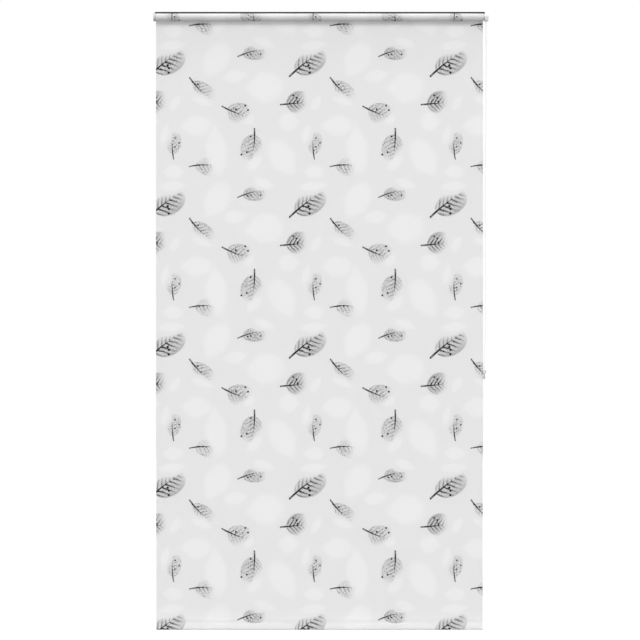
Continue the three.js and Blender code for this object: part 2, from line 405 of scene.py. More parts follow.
def see_through(tree, surface, share, tint):
    """Lets a share of the light pass to the other side."""
    through = node(tree, "ShaderNodeBsdfTranslucent", {"Color": tint})
    both = node(tree, "ShaderNodeMixShader", {0: share, 1: surface, 2: through})
    join(tree, both, tree.nodes["Material Output"].inputs["Surface"])


def painted(name, tint):
    """Satin paint on a drawn rail: orange peel, and faint rubbed streaks along its length."""
    material, tree, surface = new_material(name, {"Specular IOR Level": 0.12})
    place = node(tree, "ShaderNodeTexCoord").outputs["Object"]
    along = node(tree, "ShaderNodeMapping", {"Vector": place, "Scale": (4.0, 260.0, 260.0)})
    streak = noise(tree, along, 1.0, 3.0)
    share = streak.rise(0.35, 0.7)
    mixed = blend_colours(tree, share, shade(tint, 0.88), shade(tint, 1.2))
    peel = noise(tree, place, 900.0)
    dressed(tree, surface, mixed, blend_numbers(share, 0.55, 0.66), peel, 0.1, 0.1 * MM)
    return material


def drawn_metal(name, tint):
    """Mill-finish aluminium with die lines along X."""
    material, tree, surface = new_material(name, {"Metallic": 1.0})
    place = node(tree, "ShaderNodeTexCoord").outputs["Object"]
    along = node(tree, "ShaderNodeMapping", {"Vector": place, "Scale": (3.0, 1500.0, 1500.0)})
    lines = noise(tree, along, 1.0, 3.0)
    mixed = blend_colours(tree, lines.rise(0.3, 0.7), shade(tint, 0.9), shade(tint, 1.08))
    dressed(tree, surface, mixed, lines.rise(0.2, 0.8, 0.22) + 0.24, lines, 0.15, 0.05 * MM)
    return material


# Print

# Scattered leaf skeletons over plain pale leaves. Places are metres right of and below a repeat's top left
# corner, and a turn is degrees from pointing right. Each leaf has one crisp half, to the left (1) or right
# (-1) of the way it points; its other half and its tip fade out. Its widths, bow and dots are shares of its
# length, and those across it are positive towards the crisp half.
#   right, down, turn, length, side, crisp half, soft half, bow, veins, soft tone, tone, where it fades,
#   three dots, each along and across
LEAVES = (
    (0.53, 0.12, 30, 0.135, -1, 0.34, 0.32, -0.08, 1.0, 0.8, 0.75, 0.8,
     (0.4, 0.14), (0.33, 0.25), (0.41, 0.05)),
    (0.325, 0.055, 0, 0.09, -1, 0.25, 0.38, -0.15, 0.4, 1.0, 0.75, 0.7,
     (0.34, 0.0), (0.77, 0.0), (0.2, 0.03)),
    (0.13, 0.165, -35, 0.1, 1, 0.27, 0.28, -0.11, 0.45, 0.8, 0.42, 0.65,
     (-0.03, 0.0), (0.1, -0.03), (0.2, 0.04)),
    (0.495, 0.25, 5, 0.105, 1, 0.46, 0.4, 0.0, 1.0, 1.0, 0.88, 0.42,
     (0.28, 0.3), (0.39, 0.21), (0.42, 0.06)),
    (0.265, 0.27, -10, 0.105, 1, 0.32, 0.5, -0.11, 0.5, 1.0, 0.42, 0.55,
     (0.3, 0.05), (0.75, 0.1), (0.62, 0.25)),
    (0.37, 0.37, -105, 0.105, -1, 0.39, 0.42, -0.1, 0.5, 0.9, 0.5, 0.75,
     (0.7, 0.11), (0.84, 0.28), (0.1, 0.12)),
    (0.05, 0.445, 80, 0.085, -1, 0.3, 0.36, -0.12, 0.35, 0.9, 0.35, 0.85,
     (0.74, -0.02), (0.34, 0.04), (0.55, 0.2)),
    (0.14, 0.49, -20, 0.095, -1, 0.26, 0.5, -0.2, 0.4, 0.6, 0.35, 0.45,
     (0.12, -0.06), (0.05, -0.03), (0.27, -0.12)),
)
#   Pale leaves: right, down, turn towards the pointed end, half length, half width
PALE_LEAVES = (
    (0.22, 0.075, -120, 0.08, 0.053), (0.295, 0.14, 10, 0.048, 0.027), (0.41, 0.185, 185, 0.078, 0.065),
    (0.505, 0.32, 0, 0.042, 0.038), (0.14, 0.335, 180, 0.062, 0.044), (0.22, 0.43, 95, 0.1, 0.046),
    (0.48, 0.46, -60, 0.086, 0.054), (0.05, 0.515, 180, 0.042, 0.028), (0.05, 0.02, 5, 0.056, 0.019),
    (0.41, 0.01, -20, 0.046, 0.019), (0.165, 0.24, -20, 0.046, 0.015), (0.06, 0.245, 60, 0.036, 0.018),
    (0.35, 0.31, 50, 0.026, 0.018), (0.37, 0.48, 45, 0.04, 0.022), (0.02, 0.365, 75, 0.042, 0.015),
)
PRINT_CORNER = Vector((0.0157, -0.1098, 0.0))  # a repeat's top left corner, on the flat cloth
STEM = 0.23  # how far a stem reaches below its blade
LEAF_MIDDLE, LEAF_REACH = 0.38, 0.72  # a circle round a whole leaf: its centre along it, and its radius


def near_leaf(tree, place, repeat, right, down, turn, size):
    """The place in a leaf's own frame: 1 is one size along it or across it, and the print repeats."""
    centre = Vector((right, -down, 0.0))
    half = Vector((repeat / 2, repeat / 2, 1.0))
    limits = {0: place, 1: centre + half, 2: centre - half}
    wrapped = node(tree, "ShaderNodeVectorMath", limits, operation="WRAP")
    return node(
        tree, "ShaderNodeMapping",
        {"Vector": wrapped, "Location": centre, "Rotation": (0, 0, math.radians(turn)), "Scale": size},
        vector_type="TEXTURE",
    )


def chosen_leaf(tree, place, repeat):
    """The place in the frame of the leaf that it lies in, and that leaf's own numbers, by threes."""
    picked = [(9.0, 9.0, 0.0)] + [(0.3, 0.3, 0.0)] * 6
    for right, down, turn, length, side, *shape, fade, dot, spot, fleck in LEAVES:
        here = near_leaf(tree, place, repeat, right, down, turn, (length, side * length, 1.0))
        inside = distance(tree, here, (LEAF_MIDDLE, 0.0, 0.0)).math("LESS_THAN", LEAF_REACH)
        ends = [(fade, 0.0, 0.0), (*dot, 0.0), (*spot, 0.0), (*fleck, 0.0)]
        picked = [
            node(tree, "ShaderNodeMix", {0: inside, 4: old, 5: new}, data_type="VECTOR").outputs[1]
            for old, new in zip(picked, [here, shape[:3], shape[3:], *ends])
        ]
    return picked


def distance(tree, place, spot):
    """How far a place lies from a spot."""
    gap = node(tree, "ShaderNodeVectorMath", {0: place, 1: spot}, operation="DISTANCE")
    return Number(gap.outputs["Value"])


def split(tree, vector):
    """A vector's three Numbers."""
    parts = node(tree, "ShaderNodeSeparateXYZ", {0: vector}).outputs
    return [Number(part) for part in parts]


def specks(tree, place):
    """Small round specks, on some of the cells of a loose pattern."""
    cells = node(tree, "ShaderNodeTexVoronoi", {"Vector": place, "Scale": 135.0}, voronoi_dimensions="2D")
    kept = split(tree, cells.outputs["Color"])[0].math("GREATER_THAN", 0.58)
    return Number(cells.outputs["Distance"]).fall(0.16, 0.34) * kept


def net(tree, place):
    """The fine net of lines between the side veins."""
    return Number(node(
        tree, "ShaderNodeTexVoronoi", {"Vector": place, "Scale": 330.0},
        feature="DISTANCE_TO_EDGE", voronoi_dimensions="2D",
    ).outputs["Distance"]).fall(0.02, 0.14)


def stalk_ink(along, rib):
    """The stem and midrib, thickest in the middle, with a small knob at the stem's end."""
    width = along.rise(-0.1, 0.7, -0.022) + 0.029
    core = rib.size().fall(width * 0.7, width * 1.3)
    stalk = core * along.rise(-STEM - 0.01, -STEM + 0.01) * along.fall(0.4, 0.66)
    stalk = stalk * along.rise(-0.22, -0.04, 0.35) + stalk * 0.65
    from_end = along + (STEM - 0.012)
    knob = (from_end * from_end + rib * rib).math("SQRT").fall(0.02, 0.036)
    return stalk.most(knob)


def leaf_ink(tree, place, repeat):
    """How much ink lies at a place: the stem and midrib, the veined blade, its rim and its dots."""
    local, form, tones, end, *dots = chosen_leaf(tree, place, repeat)
    along, across, _ = split(tree, local)
    crisp, soft, bow = split(tree, form)
    veins, faint, tone = split(tree, tones)
    fade = split(tree, end)[0]
    wander = noise(tree, place, 55.0)
    patchy = noise(tree, place, 190.0).rise(0.35, 0.7)
    rib = across - bow * along * (2.6 - along * 1.2)
    # The blade's outline, and where a place lies in it: reach is 0 on the leaf's line and 1 at the rim
    span = (along * 4.0 * (1.0 - along)).most(0.0).math("SQRT")
    half = blend_numbers(across.math("GREATER_THAN", 0.0), soft, crisp) * span
    reach = across.size() / half.most(0.001)
    blade = reach.fall(0.9, 1.04)
    # Side veins, slanting from the midrib towards the tip and thinning outwards
    beat = (along - rib.size() * 0.8 + wander * 0.08) * 6.8
    stripe = (beat.math("FRACT") - 0.5).size() * 2.0
    away = rib.size() / (span * 0.35).most(0.05)
    tapering = away.fall(0.2, 1.3) * (along.fall(0.3, 1.0) * 0.5 + 0.5)
    vein = stripe.rise(0.42, 0.88) * tapering * veins * (patchy * 0.4 + 0.7)
    drawn = vein + specks(tree, place) * (0.72 - veins * 0.4) * along.fall(0.5, 1.1)
    # The crisp half has a dark rim, and the soft half fades outwards
    fill = 0.13 + net(tree, place) * 0.12 + patchy * 0.1
    strong = (fill + reach.rise(0.5, 1.0) * 0.2) * tone + drawn
    outwards = (reach * (along * 1.7 + 0.05)).rise(0.25, 0.85)
    weak = ((fill + reach.rise(0.6, 1.0) * 0.1) * tone + drawn * 0.7) * (1.0 - outwards) * faint
    blend = blend_numbers(rib.rise(-0.04, 0.02), weak, strong)
    ink = (blade * blend * (along + wander * 0.1).fall(fade, fade + 0.45)).most(stalk_ink(along, rib))
    for dot in dots:
        ink = ink.most(distance(tree, local, dot).fall(0.028, 0.046))
    return ink.least(1.0)


def pale_share(tree, place, repeat):
    """1 inside the faint leaves that lie behind the others."""
    nearest = 9.0
    for right, down, turn, length, width in PALE_LEAVES:
        here = near_leaf(tree, place, repeat, right, down, turn, (length, width, 1.0))
        along, across, _ = split(tree, here)
        across = across * (along.rise(0.2, 1.1, 0.9) + 1.0)
        nearest = (along * along * 0.92 + across * across).math("SQRT").least(nearest)
    return (nearest + noise(tree, place, 40.0) * 0.12).fall(0.74, 1.16)


def printed(name, settings, welded):
    """Coated cloth with the leaf print on both faces, a fine weave, a pressed weld above the hem, and a
    painted lighter band over the hem.
    """
    material, tree, surface = new_material(name, {"Specular IOR Level": 0.35})
    flat = node(tree, "ShaderNodeUVMap", uv_map="cut")
    place = node(tree, "ShaderNodeVectorMath", {0: flat, 1: PRINT_CORNER}, operation="SUBTRACT")
    ink = leaf_ink(tree, place, settings.repeat)
    pale = pale_share(tree, place, settings.repeat)
    ground = blend_colours(tree, pale, tuple(settings.ground), tuple(settings.pale))
    right, up, _ = split(tree, flat)
    low, high = welded
    # Painted light: below the weld's top, down round the hem, the ground is blended halfway towards a
    # brighter pale. This is a painted lighter band over the hem.
    painted_hem_light = up.fall(high - 2 * MM, high) * 0.5
    ground = blend_colours(tree, painted_hem_light, ground, shade(settings.pale, 1.115))
    tinted = blend_colours(tree, ink, ground, tuple(settings.ink))
    weave = (right * 9000.0).math("SINE") * (up * 9000.0).math("SINE")
    press = (up * 2600.0).math("SINE") * up.rise(low, low + MM) * up.fall(high - MM, high)
    height = weave * 0.4 + noise(tree, flat, 700.0) * 0.5 + press * 1.5
    dressed(tree, surface, tinted, blend_numbers(ink, 0.62, 0.5), height, 0.25, 0.06 * MM)
    see_through(tree, surface, settings.translucence, tinted)
    return material


# Stage

#   Which setting is a light's strength; its softness, its height and its turn from the front, in degrees
LIGHTS = (
    ("front", 30, 36, 0),
    ("top", 20, 84, 0),
    ("back", 60, 30, 180),
)
CAMERA_SIDE, CAMERA_HEIGHT = 2 * MM, -1.205
SENSOR = 36.0


def sun(name, strength, softness, height, turn):
    """A distant soft light, above level by height and turned from the front by turn."""
    data = bpy.data.lights.new(name, "SUN")
    data.energy, data.angle = strength, softness
    lamp = linked(name, data)
    level = Vector((math.sin(turn), -math.cos(turn), 0.0)) * math.cos(height)
    towards = level + Vector((0.0, 0.0, math.sin(height)))
    lamp.location = AXIS + towards * 3
    lamp.rotation_mode = "QUATERNION"
    lamp.rotation_quaternion = towards.to_track_quat("Z", "Y")


def seen_rays(tree):
    """1 for rays that show the stage itself: straight to the camera, or by gloss or through glass."""
    path = node(tree, "ShaderNodeLightPath").outputs
    seen = Number(path["Is Camera Ray"])
    return seen.most(Number(path["Is Glossy Ray"])).most(Number(path["Is Transmission Ray"]))


class BLIND_OT_stage(bpy.types.Operator):
    """Camera, soft lights, a white surround and a pale floor"""

    bl_idname = "blind.stage"
    bl_label = "Stage"

    def execute(self, context):
        scene = context.scene
        settings = scene.blind_stage
        scene.view_settings.view_transform = "Standard"
        self.camera(scene, settings)
        for name, *degrees in LIGHTS:
            sun(name + "_light", getattr(settings, name), *map(math.radians, degrees))
        scene.world = bpy.data.worlds.new("surround")
        tree = emptied(scene.world)
        level = blend_numbers(seen_rays(tree), settings.ambient, 1.0)
        glow = node(tree, "ShaderNodeBackground", {"Color": (1, 1, 1, 1), "Strength": level})
        node(tree, "ShaderNodeOutputWorld", {"Surface": glow})
        self.floor(settings)
        return {"FINISHED"}

    def camera(self, scene, settings):
        data = bpy.data.cameras.new("camera")
        data.lens, data.sensor_width = settings.lens, SENSOR
        data.clip_start, data.clip_end = 0.1, 200.0
        scene.camera = linked("camera", data)
        scene.camera.location = (CAMERA_SIDE, ROD.y - settings.distance, CAMERA_HEIGHT)
        scene.camera.rotation_euler = (math.pi / 2, 0, 0)

    def floor(self, settings):
        half = settings.floor_size / 2
        height = CLOTH_LOW.z - settings.floor_drop
        corners = [(x * half, y * half, height) for x, y in ((-1, -1), (1, -1), (1, 1), (-1, 1))]
        mesh = mesh_of("floor", corners, [(0, 1, 2, 3)])
        floor = linked("floor", mesh)
        material = bpy.data.materials.new("pale_floor")
        tree = emptied(material)
        seen = seen_rays(tree)
        tint = blend_colours(tree, seen, (0.2, 0.2, 0.2), (0.8, 0.8, 0.8))
        matt = node(tree, "ShaderNodeBsdfDiffuse", {"Color": tint})
        lift = node(tree, "ShaderNodeEmission", {"Color": (1, 1, 1, 1), "Strength": seen * 0.32})
        both = node(tree, "ShaderNodeAddShader", {0: matt, 1: lift})
        node(tree, "ShaderNodeOutputMaterial", {"Surface": both})
        mesh.materials.append(material)


# Pull weight


def eye_outline(corner, foot):
    """A triangle with round corners, point down, as X and Z from the middle of the weight's top."""
    (x, z, radius), (low, bottom) = corner, foot
    slope = math.atan2(x, z - low)
    return [
        *arc((x, z), radius, -slope, math.pi / 2, 12),
        *arc((-x, z), radius, math.pi / 2, math.pi + slope, 12),
        *arc((0.0, low), bottom, math.pi + slope, 2 * math.pi - slope, 12),
    ]


class BLIND_OT_pull_weight(bpy.types.Operator):
    """Pull weight: an eye that the chain hangs it by, and a bulb to hold"""

    bl_idname = "blind.pull_weight"
    bl_label = "Pull weight"

    def execute(self, context):
        settings = context.scene.blind_fittings
        top = Vector((WEIGHT_X, AXIS.y, WEIGHT_HIGH.z))
        made = combined("pull_weight_moulding", self.eye(top), ("UNION", self.bulb(top)))
        piece = placed(made, moulded("weight_plastic", settings.weight, 0.38))
        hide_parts("pull_weight")
        return {"FINISHED"}

    def eye(self, top):
        """The flat triangular ring, with a section between round and square."""
        outside = eye_outline((5.5 * MM, -3 * MM, 3 * MM), (-16.5 * MM, 3.4 * MM))
        inside = eye_outline((2.4 * MM, -5.2 * MM, 1.6 * MM), (-11.5 * MM, 1.4 * MM))
        half, steps = 3 * MM, 16
        vertices = []
        for (ox, oz), (ix, iz) in zip(outside, inside):
            for i in range(steps):
                a = 2 * math.pi * (i + 0.5) / steps
                share = 0.5 + 0.5 * self.squared(math.cos(a))
                depth = half * self.squared(math.sin(a))
                vertices.append(top + Vector((ix + (ox - ix) * share, depth, iz + (oz - iz) * share)))
        return outward(mesh_of("eye", vertices, grid_faces(len(outside), steps, True, True)))

    def squared(self, value):
        return math.copysign(abs(value) ** 0.55, value)

    def bulb(self, top):
        """The round grip under the eye, with a neck that reaches up into it."""
        radius, neck, middle, end = 4.8 * MM, 3 * MM, -28 * MM, -17 * MM
        half = top.z + middle - WEIGHT_LOW.z
        curve = arc((0, 0), 1, -math.pi / 2, math.acos(neck / radius), 16)[1:]
        grip = [(radius * c, middle + half * s) for c, s in curve]
        profile = [(0.0, middle - half), *grip, (neck, end), (0.0, end)]
        return turned("bulb", profile, 40, lambda x, y, z: top + Vector((x, y, z)))


# Bead chain

# How far the front and the back strand stray in X at each height, as in the frame's solids
CHAIN_SWAY = (
    (-60, 0.3, 0.1), (-130, 1.6, 0.6), (-230, 1.1, 0.9), (-340, -0.2, 0.3),
    (-480, -1.6, -1.0), (-640, -2.4, -1.9), (-820, -2.2, -2.2), (-960, -1.8, -1.5),
    (-1080, -1.9, -0.9), (-1190, -2.5, -1.0), (-1280, -3.9, -2.2), (-1340, -5.5, -4.2),
)
WHEEL_PITCH_RADIUS = 9.708 * MM  # 10 pockets at a pitch of 6 mm
TURN_RADIUS = 9 * MM  # the turn through the weight's eye
TURN_HEIGHT, TURN_TOP = 2.5 * MM, 9 * MM  # its centre and its ends above the weight's top
STRAND_LEAD = 12 * MM  # straight stretch at both ends of a strand


def smoothed(points, steps):
    """A smooth line through points, with steps between each two."""
    line = []
    for i in range(len(points) - 1):
        a, b, c, d = (points[min(max(i + k, 0), len(points) - 1)] for k in (-1, 0, 1, 2))
        for s in range(steps):
            t = s / steps
            line.append(
                0.5 * (2 * b + (c - a) * t + (2 * a - 5 * b + 4 * c - d) * t * t
                       + (3 * b - a - 3 * c + d) * t ** 3)
            )
    return [*line, points[-1]]


def strand(side):
    """One hanging strand, from the wheel down to the turn; side is -1 in front and 1 behind."""
    start = Vector((CHAIN_X, AXIS.y + side * WHEEL_PITCH_RADIUS, AXIS.z - MM))
    end = Vector((WEIGHT_X, AXIS.y + side * TURN_RADIUS, WEIGHT_HIGH.z + TURN_TOP))
    points = [start, start - Vector((0, 0, STRAND_LEAD))]
    for height, front, back in CHAIN_SWAY:
        z = height * MM
        point = start.lerp(end, (start.z - z) / (start.z - end.z))
        point.x = CHAIN_X + (front if side < 0 else back) * MM
        points.append(point)
    return smoothed([*points, end + Vector((0, 0, STRAND_LEAD)), end], 6)


def chain_route():
    """The endless chain's centreline, from the top of the wheel, down in front and up behind."""
    over = [Vector((CHAIN_X, y, z)) for y, z in arc(CENTRE, WHEEL_PITCH_RADIUS, 0, math.pi, 36)]
    centre = (AXIS.y, WEIGHT_HIGH.z + TURN_HEIGHT)
    under = [Vector((WEIGHT_X, y, z)) for y, z in arc(centre, TURN_RADIUS, math.pi, 2 * math.pi, 24)]
    half = len(over) // 2
    return [*over[half:], *strand(-1), *under, *reversed(strand(1)), *over[: half + 1]]


def chain_tree():
    """Geometry nodes that thread beads on a string along a closed line."""
    tree = bpy.data.node_groups.new("bead_chain", "GeometryNodeTree")
    face = tree.interface
    for label, kind in (
        ("Line", "Geometry"), ("Beads", "Int"), ("Bead radius", "Float"), ("String radius", "Float"),
        ("Bead plastic", "Material"), ("String fibre", "Material"),
    ):
        face.new_socket(label, in_out="INPUT", socket_type="NodeSocket" + kind)
    face.new_socket("Chain", in_out="OUTPUT", socket_type="NodeSocketGeometry")
    given = node(tree, "NodeGroupInput").outputs
    line = node(tree, "GeometryNodeMeshToCurve", {"Mesh": given["Line"]})
    steps = node(tree, "GeometryNodeResampleCurve", {"Curve": line, "Count": given["Beads"]})
    ball = {"Segments": 14, "Rings": 8, "Radius": given["Bead radius"]}
    bead = node(tree, "GeometryNodeMeshUVSphere", ball)
    marked = node(
        tree, "GeometryNodeStoreNamedAttribute", {"Geometry": bead, "Name": "bead", "Value": True},
        data_type="BOOLEAN", domain="FACE",
    )
    heading = node(tree, "GeometryNodeInputTangent")
    turn = node(tree, "FunctionNodeAlignRotationToVector", {"Vector": heading}, axis="Z")
    threaded = {"Points": steps, "Instance": marked, "Rotation": turn}
    beads = node(tree, "GeometryNodeInstanceOnPoints", threaded)
    hexagon = {"Resolution": 6, "Radius": given["String radius"]}
    ring = node(tree, "GeometryNodeCurvePrimitiveCircle", hexagon)
    string = node(tree, "GeometryNodeCurveToMesh", {"Curve": steps, "Profile Curve": ring})
    both = node(tree, "GeometryNodeJoinGeometry")
    for part in (string, beads):
        join(tree, part, both.inputs[0])
    smooth = node(tree, "GeometryNodeSetShadeSmooth", {"Geometry": both})
    solid = node(tree, "GeometryNodeRealizeInstances", {"Geometry": smooth})
    fibre = node(tree, "GeometryNodeSetMaterial", {"Geometry": solid, "Material": given["String fibre"]})
    on_bead = node(tree, "GeometryNodeInputNamedAttribute", {"Name": "bead"}, data_type="BOOLEAN")
    recoloured = {"Geometry": fibre, "Selection": on_bead, "Material": given["Bead plastic"]}
    node(tree, "NodeGroupOutput", {0: node(tree, "GeometryNodeSetMaterial", recoloured)})
    return tree


class BLIND_OT_bead_chain(bpy.types.Operator):
    """Endless bead chain over the wheel, with the pull weight in its loop"""

    bl_idname = "blind.bead_chain"
    bl_label = "Bead chain"

    def execute(self, context):
        settings = context.scene.blind_chain
        route = chain_route()
        length = sum((b - a).length for a, b in zip(route, route[1:]))
        plastic = moulded("bead_plastic", settings.colour, 0.3, 0.01, 0.5)
        fibre = moulded("string_fibre", shade(settings.colour, 0.92), 0.75, 0.05)
        loop = route[:-1]
        line = bpy.data.meshes.new("bead_chain")
        line.from_pydata(loop, [(i, (i + 1) % len(loop)) for i in range(len(loop))], [])
        piece = linked("bead_chain", line)
        maker = piece.modifiers.new("beads", "NODES")
        maker.node_group = chain_tree()
        values = (round(length / settings.pitch), settings.bead / 2, settings.string / 2, plastic, fibre)
        inputs = [item for item in maker.node_group.interface.items_tree if item.in_out == "INPUT"]
        for item, value in zip(inputs[1:], values):  # the first input is the line itself
            maker[item.identifier] = value
        applied(piece)
        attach(piece, BODY)
        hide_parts("chain_over_wheel", "chain_front", "chain_turn", "chain_back")
        return {"FINISHED"}


# Printed cloth

HEM_RISE = 24.2 * MM  # from the rod's middle up to the hem pocket's top
ROD_ROOM = 0.12 * MM  # air between the rod and its pocket
RIPPLE_TOP, RIPPLE_END = -0.05, -2.36  # the heights that the ripple lies between
RIPPLE_REACH = 0.4  # how far from either height it is full


def cloth_line(settings):
    """The cloth's middle, from its end on the tube to the weld: (Y, Z, height on the flat cloth)."""
    step = settings.thickness + settings.turn_gap
    wound = wound_turns(ROLL_RADIUS - settings.thickness / 2, step)
    hem_top = ROD.z + HEM_RISE
    line = wound + panel(wound[-1], hem_top)
    around = ROD_RADIUS + settings.thickness / 2 + ROD_ROOM
    front = math.asin(around / HEM_RISE)
    back = math.asin((around - step) / HEM_RISE)
    round_rod = arc((ROD.y, ROD.z), around, math.pi - front, 2 * math.pi + back, 26)
    line += between(line[-1], round_rod[0], 6) + round_rod
    behind = (ROD.y + step, hem_top)
    line += between(line[-1], behind, 6) + [behind, (ROD.y + step, hem_top + settings.weld)]
    runs = [0.0]
    for a, b in zip(line, line[1:]):
        runs.append(runs[-1] + math.dist(a, b))
    top = AXIS.z + runs[len(wound) - 1]
    return [(y, z, top - run) for (y, z), run in zip(line, runs)], runs[-1]


def wound_turns(outer, step, per_turn=48):
    """The spiral from the tube out to where the cloth hangs free."""
    turns = (outer - TUBE_RADIUS - step / 2) / step
    count = round(turns * per_turn)
    spiral = []
    for i in range(count, -1, -1):
        turn = turns * i / count
        radius, a = outer - step * turn, 2 * math.pi * turn
        spiral.append((AXIS.y + radius * math.cos(a), AXIS.z + radius * math.sin(a)))
    return spiral


def panel(start, hem_top, rows=44):
    """The hanging stretch, which eases from the roll's back over to the rod's plane."""
    points = []
    for i in range(1, rows + 1):
        share = i / rows
        easing = min(1.0, share * 8)
        y = start[0] + (ROD.y - start[0]) * easing * easing * (3 - 2 * easing)
        points.append((y, AXIS.z - (AXIS.z - hem_top) * share))
    return points


def between(start, end, steps):
    """Points strictly between two others."""
    shares = [i / steps for i in range(1, steps)]
    return [(start[0] + (end[0] - start[0]) * s, start[1] + (end[1] - start[1]) * s) for s in shares]


def ripple(x, z):
    """Unevenness of the hanging cloth, from -1 to 1, that dies out at the roll and at the hem."""
    under_roll, over_hem = (RIPPLE_TOP - z) / RIPPLE_REACH, (z - RIPPLE_END) / RIPPLE_REACH
    held = min(1.0, max(0.0, under_roll)) * min(1.0, max(0.0, over_hem))
    wave = math.sin(9.0 * x + 1.3 * math.sin(2.1 * z)) * math.cos(2.7 * z + 0.8 * x)
    fine = math.sin(23.0 * x - 3.0 * z + 1.0)
    return held * (0.75 * wave + 0.25 * fine)


class BLIND_OT_printed_cloth(bpy.types.Operator):
    """Printed cloth: wound turns, hanging panel and the hem round its rod, in one sheet"""

    bl_idname = "blind.printed_cloth"
    bl_label = "Printed cloth"

    def execute(self, context):
        settings = context.scene.blind_cloth
        line, length = cloth_line(settings)
        columns = 64
        left, width = CLOTH_LOW.x, CLOTH_HIGH.x - CLOTH_LOW.x
        across = [width * i / columns for i in range(columns + 1)]
        vertices = []
        for y, z, height in line:
            for x in across:
                off = ripple(x, z) * settings.ripple if height < AXIS.z else 0.0
                vertices.append((left + x, y + off, z))
        mesh = mesh_of("printed_cloth", vertices, grid_faces(len(line), columns + 1))
        cut = mesh.uv_layers.new(name="cut")
        for loop in mesh.loops:
            row, column = divmod(loop.vertex_index, columns + 1)
            cut.data[loop.index].uv = (across[column], line[row][2])
        hem_top = next(h for _, z, h in line if h < AXIS.z and z <= ROD.z + HEM_RISE + 0.1 * MM)
        material = printed("leaf_print_cloth", settings, (hem_top, hem_top + settings.weld))
        piece = placed(mesh, material)
        thicken = piece.modifiers.new("thickness", "SOLIDIFY")
        thicken.thickness, thicken.offset, thicken.use_even_offset = settings.thickness, 0.0, True
        applied(piece).set_sharp_from_angle(angle=math.radians(40))
        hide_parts("cloth")
        return {"FINISHED"}


# End pieces

CUP = sizes(round=2.5, floor=1.2, bore=3.3, depth=6.7)
CUP_NECK = sizes(thickness=3.7, foot=-18)
GUARD = sizes(depth=14, wall=2.1, plate=2.7, corner=2, round=2)
GUARD_NECK = sizes(start=641.2, end=648, leg=0.3, shelf=-6.8, foot=-24)
GUARD_PIN = sizes(radius=4, tip=620)
PLUG = sizes(pin=3, flange=1.7, gap=0.3, hub=12.5)
NECK_HALF = 4.5 * MM
TONGUE = sizes(length=22, half=7.2, low=-3.2, high=-1.8)
WHEEL = sizes(
    bore=4.3, hub=12.5, hub_end=618, tube_end=640.3, collar=12.9, collar_end=645.7, rim=10.9, end=655.2,
    groove=2.55, ridge=8.75, pocket=2.53,
)
POCKETS = 10


def guard_outline(inset, corner=True):
    """The chain guard, round above and straight below, as Y and Z, drawn in by inset."""
    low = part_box("drive_bracket")[0].z
    radius = AXIS.z - low - inset
    bottom = low + (inset if corner else -MM)
    over = arc(CENTRE, radius, 0, math.pi, 48)
    if not corner:
        return [*over, (AXIS.y - radius, bottom), (AXIS.y + radius, bottom)]
    turn = GUARD.corner - inset
    front = arc((AXIS.y + turn - radius, bottom + turn), turn, math.pi, 1.5 * math.pi, 8)
    back = arc((AXIS.y + radius - turn, bottom + turn), turn, 1.5 * math.pi, 2 * math.pi, 8)
    return [*over, *front, *back]


def rounded_end(end, inwards, radius, outline, steps):
    """Sections that round off an end face: from the wall, where nothing is drawn in, to the face."""
    return [
        (end + inwards * radius * (1 - math.sin(a)), outline(radius * (1 - math.cos(a))))
        for a in (math.pi / 2 * i / steps for i in range(steps + 1))
    ]


def tongue(start, end):
    """The flat tongue of a bracket, in the rail from one X to another."""
    return block("tongue", (start, -TONGUE.half, TONGUE.low), (end, TONGUE.half, TONGUE.high))


class BLIND_OT_drive_bracket(bpy.types.Operator):
    """Right bracket: the chain guard, its pin, its neck and the tongue in the rail"""

    bl_idname = "blind.drive_bracket"
    bl_label = "Drive bracket"

    def execute(self, context):
        settings = context.scene.blind_fittings
        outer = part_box("drive_bracket")[1].x
        inner = outer - GUARD.depth
        end = rounded_end(outer, -1, GUARD.round, guard_outline, 6)
        body = lofted("guard", (inner, guard_outline(0.0)), *end)
        hollow = guard_outline(GUARD.wall, corner=False)
        hollow = lofted("hollow", (inner - MM, hollow), (outer - GUARD.plate, hollow))
        pin = rod("pin", GUARD_PIN.radius, GUARD_PIN.tip, outer - GUARD.plate / 2)
        leg, shelf, foot = GUARD_NECK.leg, GUARD_NECK.shelf, GUARD_NECK.foot
        section = [
            (-NECK_HALF, TONGUE.high), (-NECK_HALF, shelf), (leg, shelf),
            (leg, foot), (NECK_HALF, foot), (NECK_HALF, TONGUE.high),
        ]
        neck = lofted("neck", (GUARD_NECK.start, section), (GUARD_NECK.end, section))
        inserted = tongue(RAIL_END - TONGUE.length, inner + MM)
        steps = (("DIFFERENCE", hollow), ("UNION", pin), ("UNION", neck), ("UNION", inserted))
        made = combined("drive_bracket_moulding", body, *steps)
        piece = placed(made, moulded("guard_plastic", settings.white), settings.rounding)
        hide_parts("drive_bracket")
        return {"FINISHED"}


class BLIND_OT_idle_bracket(bpy.types.Operator):
    """Left bracket: a round cup for the plug's pin, its neck and the tongue in the rail"""

    bl_idname = "blind.idle_bracket"
    bl_label = "Idle bracket"

    def execute(self, context):
        settings = context.scene.blind_fittings
        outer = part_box("idle_bracket")[0].x
        inner = outer + CUP.depth
        radius = AXIS.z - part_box("idle_bracket")[0].z
        end = rounded_end(outer, 1, CUP.round, lambda inset: circle(radius - inset), 8)
        cup = lofted("cup", (inner, circle(radius)), *end)
        bore = rod("bore", CUP.bore, outer + CUP.floor, inner + MM)
        start = inner - CUP_NECK.thickness
        neck = block("neck", (start, -NECK_HALF, CUP_NECK.foot), (inner, NECK_HALF, TONGUE.high))
        inserted = tongue(start, RAIL_START + TONGUE.length)
        steps = (("UNION", neck), ("UNION", inserted), ("DIFFERENCE", bore))
        made = combined("idle_bracket_moulding", cup, *steps)
        piece = placed(made, moulded("cup_plastic", settings.grey), settings.rounding)
        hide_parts("idle_bracket")
        return {"FINISHED"}


